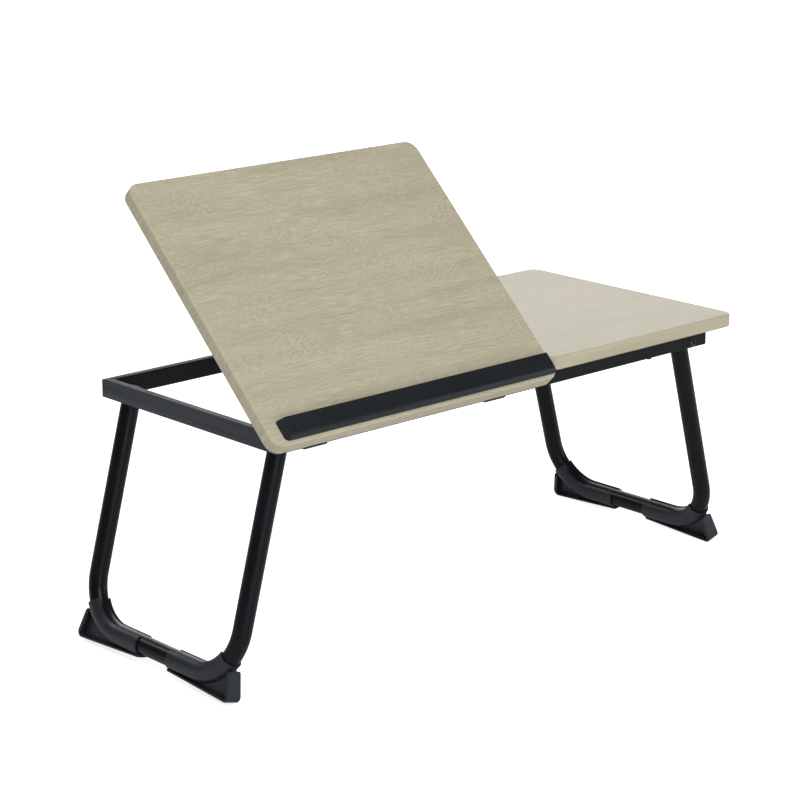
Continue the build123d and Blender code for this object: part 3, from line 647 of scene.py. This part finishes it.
# Screws, bolts and rivets are turned about Z, with the underside of the head at zero and the
# shank above it
def fastenerTree():
    tree, given = newTree("turnedFastener", [
        "Head Radius", "Neck Radius", "Rim", "Crown", "Roundness",
        "Shank Radius", "Length", "Point", "Thread Depth", "Thread Pitch", "Threaded",
        "Recess Radius", "Recess Waist", "Recess Points", "Recess Depth",
    ])
    place = addNode(tree, "GeometryNodeInputPosition")
    at = addNode(tree, "ShaderNodeSeparateXYZ", {0: place})
    flat = addNode(tree, "ShaderNodeVectorMath", {0: place, 1: (1, 1, 0)}, operation="MULTIPLY")
    length = addNode(tree, "ShaderNodeVectorMath", {0: flat}, operation="LENGTH")

    # head: a disc, narrowed to its neck above and domed below
    disc = cylinder(
        tree, turnedMesh["headSides"], given["Head Radius"], given["Rim"],
        endRings=turnedMesh["headRings"],
    )
    above = calc(tree, "GREATER_THAN", at.outputs["Z"], 0.0)
    below = calc(tree, "SUBTRACT", 1.0, above)
    neckShare = calc(tree, "DIVIDE", given["Neck Radius"], given["Head Radius"])
    narrowing = calc(tree, "SUBTRACT", neckShare, 1.0)
    width = calc(tree, "MULTIPLY_ADD", narrowing, above, 1.0)
    share = calc(tree, "DIVIDE", length.outputs["Value"], given["Head Radius"])
    squared = calc(tree, "MULTIPLY", share, share)
    left = calc(tree, "SUBTRACT", 1.0, squared, use_clamp=True)
    curve = calc(tree, "POWER", left, given["Roundness"])
    dome = calc(tree, "MULTIPLY", curve, given["Crown"])
    halfRim = calc(tree, "MULTIPLY", given["Rim"], 0.5)
    sink = calc(tree, "MULTIPLY_ADD", dome, below, halfRim)
    headX = calc(tree, "MULTIPLY", at.outputs["X"], width)
    headY = calc(tree, "MULTIPLY", at.outputs["Y"], width)
    headZ = calc(tree, "SUBTRACT", at.outputs["Z"], sink)
    headAt = combined(tree, headX, headY, headZ)
    head = addNode(tree, "GeometryNodeSetPosition", {"Geometry": disc, "Position": headAt})

    # recess: a star cut straight in, with equal radii for a hex socket and a waist for a cross
    height = calc(tree, "ADD", given["Rim"], given["Crown"])
    outside = calc(tree, "ADD", height, mm)
    outer = calc(tree, "SUBTRACT", 0.0, outside)
    inner = calc(tree, "SUBTRACT", given["Recess Depth"], height)
    outerEnd = addNode(tree, "ShaderNodeCombineXYZ", {2: outer})
    innerEnd = addNode(tree, "ShaderNodeCombineXYZ", {2: inner})
    line = addNode(tree, "GeometryNodeCurvePrimitiveLine", {"Start": outerEnd, "End": innerEnd})
    star = addNode(tree, "GeometryNodeCurveStar", {
        "Points": given["Recess Points"],
        "Inner Radius": given["Recess Waist"], "Outer Radius": given["Recess Radius"],
    })
    bit = addNode(tree, "GeometryNodeCurveToMesh", {
        "Curve": line, "Profile Curve": star, "Fill Caps": True,
    })
    driven = addNode(tree, "GeometryNodeMeshBoolean", {
        "Mesh 1": head, "Mesh 2": [bit],
    }, operation="DIFFERENCE")

    # shank: a helix of grooves over its threaded end, then a point
    rows = calc(tree, "DIVIDE", given["Length"], given["Thread Pitch"])
    rowsEach = calc(tree, "MULTIPLY", rows, turnedMesh["rowsPerTurn"])
    rod = cylinder(
        tree, turnedMesh["shankSides"], given["Shank Radius"], given["Length"],
        sideRows=rowsEach,
    )
    halfLength = calc(tree, "MULTIPLY", given["Length"], 0.5)
    climb = calc(tree, "ADD", at.outputs["Z"], halfLength)
    bearing = calc(tree, "ARCTAN2", at.outputs["Y"], at.outputs["X"])
    lead = calc(tree, "DIVIDE", bearing, 2 * math.pi)
    turns = calc(tree, "DIVIDE", climb, given["Thread Pitch"])
    phase = calc(tree, "ADD", turns, lead)
    groove = calc(tree, "PINGPONG", phase, 0.5)
    plain = calc(tree, "SUBTRACT", given["Length"], given["Threaded"])
    cutHere = calc(tree, "GREATER_THAN", climb, plain)
    cut = calc(tree, "MULTIPLY", groove, cutHere)
    depthShare = calc(tree, "DIVIDE", given["Thread Depth"], given["Shank Radius"])
    deep = calc(tree, "MULTIPLY", depthShare, -2.0)  # a groove runs from nought to a half
    threaded = calc(tree, "MULTIPLY_ADD", deep, cut, 1.0)
    pointFrom = calc(tree, "SUBTRACT", given["Length"], given["Point"])
    taper = remap(tree, climb, (pointFrom, given["Length"]), (1, turnedMesh["tipShare"]))
    girth = calc(tree, "MULTIPLY", threaded, taper)
    rodX = calc(tree, "MULTIPLY", at.outputs["X"], girth)
    rodY = calc(tree, "MULTIPLY", at.outputs["Y"], girth)
    rodZ = calc(tree, "MULTIPLY_ADD", given["Rim"], -turnedMesh["overlap"], climb)
    rodAt = combined(tree, rodX, rodY, rodZ)
    shank = addNode(tree, "GeometryNodeSetPosition", {"Geometry": rod, "Position": rodAt})
    whole = addNode(tree, "GeometryNodeJoinGeometry", {0: [driven, shank]})

    # each is driven home at its own angle
    aimed = towardsFacing(tree)
    angle = addNode(tree, "FunctionNodeRandomValue", {
        "Max": 2 * math.pi, "Seed": turnedMesh["spinSeed"],
    }, data_type="FLOAT")
    spin = addNode(tree, "FunctionNodeAxisAngleToRotation", {
        "Axis": (0, 0, 1), "Angle": angle.outputs["Value"],
    })
    turned = addNode(tree, "FunctionNodeRotateRotation", {
        0: aimed, 1: spin,
    }, rotation_space="LOCAL")
    finishTree(tree, given, repeated(tree, given, whole, turned))
    return tree


# All in mm. Three recess points with waist = radius give a hex socket, four with a small waist a
# cross, and eight a round dimple
smallScrew = {
    "body": "tilting_top", "material": "zincPlatedSteel", "slot": "zinc_fasteners",
    "Head Radius": 2.8, "Neck Radius": 2.8, "Rim": 0.75, "Crown": 0.95, "Roundness": 0.5,
    "Shank Radius": 1.5, "Point": 2.0,
    "Thread Depth": 0.35, "Thread Pitch": 1.3, "Threaded": 7.5,
    "Recess Radius": 1.5, "Recess Waist": 0.45, "Recess Points": 4, "Recess Depth": 1.0,
}
fasteners = {
    # button-head pivot bolts with a hex socket, threaded where the lock nut sits
    "leg_pivot_bolts": {
        "body": "frame", "material": "dippedBlackSteel", "slot": "black_fasteners",
        "Head Radius": 5.0, "Neck Radius": 5.0, "Rim": 0.3, "Crown": 2.5, "Roundness": 0.8,
        "Shank Radius": 3.0, "Length": 40.6, "Point": 0.4,
        "Thread Depth": 0.5, "Thread Pitch": 1.0, "Threaded": 9.0,
        "Recess Radius": 2.0, "Recess Waist": 2.0, "Recess Points": 3, "Recess Depth": 1.7,
    },
    # pan-head screws up through the rails into the fixed board
    "fixed_top_screws": {
        "body": "frame", "material": "dippedBlackSteel", "slot": "black_fasteners",
        "Head Radius": 3.6, "Neck Radius": 3.6, "Rim": 0.9, "Crown": 1.1, "Roundness": 0.5,
        "Shank Radius": 2.0, "Length": 30.0, "Point": 3.0,
        "Thread Depth": 0.45, "Thread Pitch": 1.8, "Threaded": 12.0,
        "Recess Radius": 1.9, "Recess Waist": 0.55, "Recess Points": 4, "Recess Depth": 1.3,
    },
    # small pan-head screws through the hinge leaves and the prop's clips
    "hinge_screws": {**smallScrew, "Length": 9.5},
    "prop_clip_screws": {**smallScrew, "Length": 10.0},
    # countersunk screws, flush with the board's underside
    "stop_bar_screws": {
        "body": "tilting_top", "material": "zincPlatedSteel", "slot": "zinc_fasteners",
        "Head Radius": 2.8, "Neck Radius": 1.5, "Rim": 1.3, "Crown": 0.02, "Roundness": 0.5,
        "Shank Radius": 1.5, "Length": 16.95, "Point": 1.6,
        "Thread Depth": 0.35, "Thread Pitch": 1.3, "Threaded": 12.0,
        "Recess Radius": 1.5, "Recess Waist": 0.45, "Recess Points": 4, "Recess Depth": 0.9,
    },
    # blind rivets, each with the dimple its pin left
    "hinge_rivets": {
        "body": "frame", "material": "dippedBlackSteel", "slot": "black_fasteners",
        "Head Radius": 2.5, "Neck Radius": 2.5, "Rim": 0.3, "Crown": 0.7, "Roundness": 0.5,
        "Shank Radius": 1.6, "Length": 4.3, "Point": 0.5,
        "Thread Depth": 0.0, "Thread Pitch": 1.0, "Threaded": 0.0,
        "Recess Radius": 0.8, "Recess Waist": 0.8, "Recess Points": 8, "Recess Depth": 0.45,
    },
}


def lengthsInMetres(look, counts=("Roundness", "Recess Points")):
    return {
        label: float(value) if label in counts else value * mm
        for label, value in look.items() if not isinstance(value, str)
    }


def pieceName(node):
    first, *others = node.split("_")
    return first + "".join(word.title() for word in others)


frontLow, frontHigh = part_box("frame_front_rail")
screwTree = fastenerTree()
for node, look in fasteners.items():
    onBoard = look["body"] == "tilting_top"
    rise = (look["Rim"] + look["Crown"]) * mm
    seats, facing = [], []
    for low, high in solidBoxes(node, levelBoard if onBoard else Matrix()):
        middle = (low + high) / 2
        if node == "leg_pivot_bolts":
            outer = math.copysign(frontLow.y, middle.y)
            seats.append(Vector((middle.x, outer, middle.z)))
            facing.append(Vector((0, -math.copysign(1, outer), 0)))
        elif node == "hinge_rivets":
            seats.append(Vector((middle.x, low.y + rise, middle.z)))
            facing.append(Vector((0, 1, 0)))
        else:
            seats.append(Vector((middle.x, middle.y, low.z + rise)))
            facing.append(Vector((0, 0, 1)))
    if onBoard:
        seats = [raiseBoard @ seat for seat in seats]
        facing = [raiseBoard.to_3x3() @ way for way in facing]
    host = newHost(pieceName(node), seats, facing=facing)
    piece = grow(host, screwTree, lengthsInMetres(look), materials[look["material"]])
    finishPiece(piece, look["body"], node)


# Lock nuts: hexagon with both faces chamfered, on the inner ends of the pivot bolts. In mm
lockNut = {"Across Flats": 10.0, "Height": 5.0, "Bore": 3.05}
# The barrel that takes off the nut's corners is a little larger than the blank, and drawn in by
# this share where it passes this share of the height on either side of the middle
nutBarrel = {
    "wider": 1.01, "taller": 1.02, "drawnInFrom": 0.45, "drawnInBy": 0.17,
    "sides": 48, "rows": 9, "boreSides": 32,
}


def nutTree():
    tree, given = newTree("chamferedNut", list(lockNut))
    corner = calc(tree, "DIVIDE", given["Across Flats"], 2 * math.cos(math.radians(30)))
    blank = cylinder(tree, 6, corner, given["Height"])
    wider = calc(tree, "MULTIPLY", corner, nutBarrel["wider"])
    taller = calc(tree, "MULTIPLY", given["Height"], nutBarrel["taller"])
    drum = cylinder(tree, nutBarrel["sides"], wider, taller, sideRows=nutBarrel["rows"])
    place = addNode(tree, "GeometryNodeInputPosition")
    at = addNode(tree, "ShaderNodeSeparateXYZ", {0: place})
    fromMiddle = calc(tree, "ABSOLUTE", at.outputs["Z"])
    nearEnd = calc(tree, "MULTIPLY", given["Height"], nutBarrel["drawnInFrom"])
    atEnd = calc(tree, "GREATER_THAN", fromMiddle, nearEnd)
    drawnIn = calc(tree, "MULTIPLY_ADD", atEnd, -nutBarrel["drawnInBy"], 1.0)
    scale = combined(tree, drawnIn, drawnIn, 1.0)
    shaped = addNode(tree, "ShaderNodeVectorMath", {0: place, 1: scale}, operation="MULTIPLY")
    barrel = addNode(tree, "GeometryNodeSetPosition", {"Geometry": drum, "Position": shaped})
    chamfered = addNode(tree, "GeometryNodeMeshBoolean", {
        "Mesh 2": [blank, barrel],
    }, operation="INTERSECT")
    double = calc(tree, "MULTIPLY", given["Height"], 2.0)
    drill = cylinder(tree, nutBarrel["boreSides"], given["Bore"], double)
    bored = addNode(tree, "GeometryNodeMeshBoolean", {
        "Mesh 1": chamfered, "Mesh 2": [drill],
    }, operation="DIFFERENCE")
    finishTree(tree, given, repeated(tree, given, bored, towardsFacing(tree)))
    return tree


nutMiddles = [(low + high) / 2 for low, high in solidBoxes("leg_pivot_nuts")]
nutHost = newHost("legPivotNuts", nutMiddles, facing=[(0, 1, 0)] * len(nutMiddles))
nuts = grow(nutHost, nutTree(), lengthsInMetres(lockNut), materials["zincPlatedSteel"])
finishPiece(nuts, "frame", "leg_pivot_nuts")

# MIG beads in the frame's inner corners and under the rack's end tabs, coated with the frame. In mm
weldBead = {"Radius": 1.3, "Step": 0.5, "Ripple": 1.7, "Waver": 0.25}
# Waver size and insets in mm. The bead swells with each ripple and rounds off at its ends, over
# this share of its length and down to this share of its girth
beadForm = {
    "waverSize": 3, "swell": 0.5, "leastGirth": 0.8, "roundedLength": 0.05, "endGirth": 0.3,
    "sides": 12, "cornerInset": 1.0, "rackInset": 2.0, "rackSheet": 2.0,
}


def weldTree():
    tree, given = newTree("weldBead", list(weldBead))
    path = addNode(tree, "GeometryNodeMeshToCurve", {0: given["Geometry"]})
    fine = addNode(tree, "GeometryNodeResampleCurve", {
        "Curve": path, "Length": given["Step"],
    }, mode="LENGTH")
    place = addNode(tree, "GeometryNodeInputPosition")
    waver = noise(tree, place, beadForm["waverSize"], detail=1.0)
    centred = addNode(tree, "ShaderNodeVectorMath", {
        0: waver.outputs["Color"], 1: (0.5, 0.5, 0.5),
    }, operation="SUBTRACT")
    push = scaled(tree, centred, given["Waver"])
    wavering = addNode(tree, "GeometryNodeSetPosition", {"Geometry": fine, "Offset": push})
    spline = addNode(tree, "GeometryNodeSplineParameter")
    ripples = calc(tree, "DIVIDE", spline.outputs["Length"], given["Ripple"])
    wave = calc(tree, "PINGPONG", ripples, 0.5)
    swell = calc(tree, "MULTIPLY_ADD", wave, beadForm["swell"], beadForm["leastGirth"])
    fromEnd = calc(tree, "PINGPONG", spline.outputs["Factor"], 0.5)
    rounding = remap(tree, fromEnd, (0, beadForm["roundedLength"]), (beadForm["endGirth"], 1))
    girth = calc(tree, "MULTIPLY", swell, rounding)
    bead = swept(tree, wavering, beadForm["sides"], given["Radius"], Scale=girth)
    finishTree(tree, given, bead)
    return tree


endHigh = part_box("frame_left_rail")[1]
rackLow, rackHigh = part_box("rack_channel")
cornerInset, rackInset = beadForm["cornerInset"] * mm, beadForm["rackInset"] * mm
tabLow = rackHigh.z - beadForm["rackSheet"] * mm
beadPoints = []
for x in (endHigh.x, -endHigh.x):
    for y in (frontHigh.y, -frontHigh.y):
        beadPoints.append(Vector((x, y, frontLow.z + cornerInset)))
        beadPoints.append(Vector((x, y, frontHigh.z - cornerInset)))
for y in (frontHigh.y, -frontHigh.y):
    beadPoints.append(Vector((rackLow.x + rackInset, y, tabLow)))
    beadPoints.append(Vector((rackHigh.x - rackInset, y, tabLow)))
beadEnds = [(i, i + 1) for i in range(0, len(beadPoints), 2)]
beadHost = newHost("frameWelds", beadPoints, beadEnds)
beads = grow(beadHost, weldTree(), lengthsInMetres(weldBead), materials["satinPowderCoatRail"])
finishPiece(beads, "frame", None)

# Studio: a pale floor, a dim surround that shows white, a soft key, a low fill and a card behind
studio = {
    "ambient": 0.45, "glossy": 0.16,
    "lamps": {
        "keyLamp": {"place": (-0.9, -2.2, 2.3), "size": 1.6, "power": 34},
        "lowCard": {"place": (-1.0, -2.4, 0.35), "size": 1.2, "power": 8},
        "fillLamp": {"place": (2.4, -2.0, 0.5), "size": 1.0, "power": 7},
        "backCard": {"place": (2.3, 2.5, 1.0), "size": 3.0, "power": 40},
        "highCard": {"place": (-0.8, 2.0, 2.1), "size": 0.8, "power": 12},
    },
    "floorSize": 12.0, "floorColour": "E8E8E8", "floorGlow": 0.75,
}


def addLamp(name, look, aim):
    lamp = bpy.data.lights.new(name, "AREA")
    lamp.shape = "DISK"
    lamp.size = look["size"]
    lamp.energy = look["power"]
    holder = bpy.data.objects.new(name, lamp)
    holder.location = look["place"]
    holder.rotation_euler = (aim - Vector(look["place"])).to_track_quat("-Z", "Y").to_euler()
    bpy.context.scene.collection.objects.link(holder)


def addWorld():
    world = bpy.data.worlds.new("softSurround")
    world.use_nodes = True
    tree = world.node_tree
    tree.nodes.clear()
    path = addNode(tree, "ShaderNodeLightPath")
    strengths = (studio["ambient"], studio["glossy"])
    mirrored = remap(tree, path.outputs["Is Glossy Ray"], target=strengths)
    level = remap(tree, path.outputs["Is Camera Ray"], target=(mirrored, 1))
    background = addNode(tree, "ShaderNodeBackground", {"Color": (1, 1, 1, 1), "Strength": level})
    addNode(tree, "ShaderNodeOutputWorld", {"Surface": background})
    bpy.context.scene.world = world


def addFloor():
    half = studio["floorSize"] / 2
    mesh = bpy.data.meshes.new("studioFloor")
    corners = [(-half, -half), (half, -half), (half, half), (-half, half)]
    mesh.from_pydata([(x, y, cadLow.z) for x, y in corners], [], [(0, 1, 2, 3)])
    floor = bpy.data.objects.new("studioFloor", mesh)
    bpy.context.scene.collection.objects.link(floor)
    material, tree = newMaterial("paleStudioFloor")
    path = addNode(tree, "ShaderNodeLightPath")
    glow = calc(tree, "MULTIPLY", path.outputs["Is Camera Ray"], studio["floorGlow"])
    paint = addNode(tree, "ShaderNodeBsdfDiffuse", {"Color": linearColour(studio["floorColour"])})
    light = addNode(tree, "ShaderNodeEmission", {"Strength": glow})
    lit = addNode(tree, "ShaderNodeAddShader", {0: paint, 1: light})
    # clear from below, so that the underside of the table can be looked at
    geometry = addNode(tree, "ShaderNodeNewGeometry")
    clear = addNode(tree, "ShaderNodeBsdfTransparent")
    oneSided = addNode(tree, "ShaderNodeMixShader", {
        0: geometry.outputs["Backfacing"], 1: lit, 2: clear,
    })
    addNode(tree, "ShaderNodeOutputMaterial", {"Surface": oneSided})
    mesh.materials.append(material)


# The photograph's view, solved from the table's own edges: angles in degrees, places in metres,
# lens and sensor in mm
photoView = {
    "azimuth": -42.551, "elevation": 15.77, "roll": -0.092,
    "distance": 2.6395, "aimX": -0.023862, "aimBelowFrameTop": 0.050033,
    "lens": 108.452, "sensor": 36.0, "farthest": 50,
}


def addCamera():
    angles = (math.radians(photoView[key]) for key in ("azimuth", "elevation", "roll"))
    azimuth, elevation, roll = angles
    away = Vector((
        math.sin(azimuth) * math.cos(elevation),
        -math.cos(azimuth) * math.cos(elevation),
        math.sin(elevation),
    ))
    aim = Vector((photoView["aimX"], 0, fixedLow.z - photoView["aimBelowFrameTop"]))
    right = (-away).cross(Vector((0, 0, 1))).normalized()
    up = right.cross(-away)
    turn = Matrix((right, up, away)).transposed() @ Matrix.Rotation(roll, 3, "Z")
    lens = bpy.data.cameras.new("photoCamera")
    lens.lens = photoView["lens"]
    lens.sensor_width = photoView["sensor"]
    lens.clip_end = photoView["farthest"]
    camera = bpy.data.objects.new("photoCamera", lens)
    camera.matrix_world = Matrix.Translation(aim + away * photoView["distance"]) @ turn.to_4x4()
    bpy.context.scene.collection.objects.link(camera)
    bpy.context.scene.camera = camera


addWorld()
addFloor()
tableMiddle = (cadLow + cadHigh) / 2
for name, look in studio["lamps"].items():
    addLamp(name, look, tableMiddle)
addCamera()
bpy.context.scene.view_settings.view_transform = "Standard"
print("studio ready")
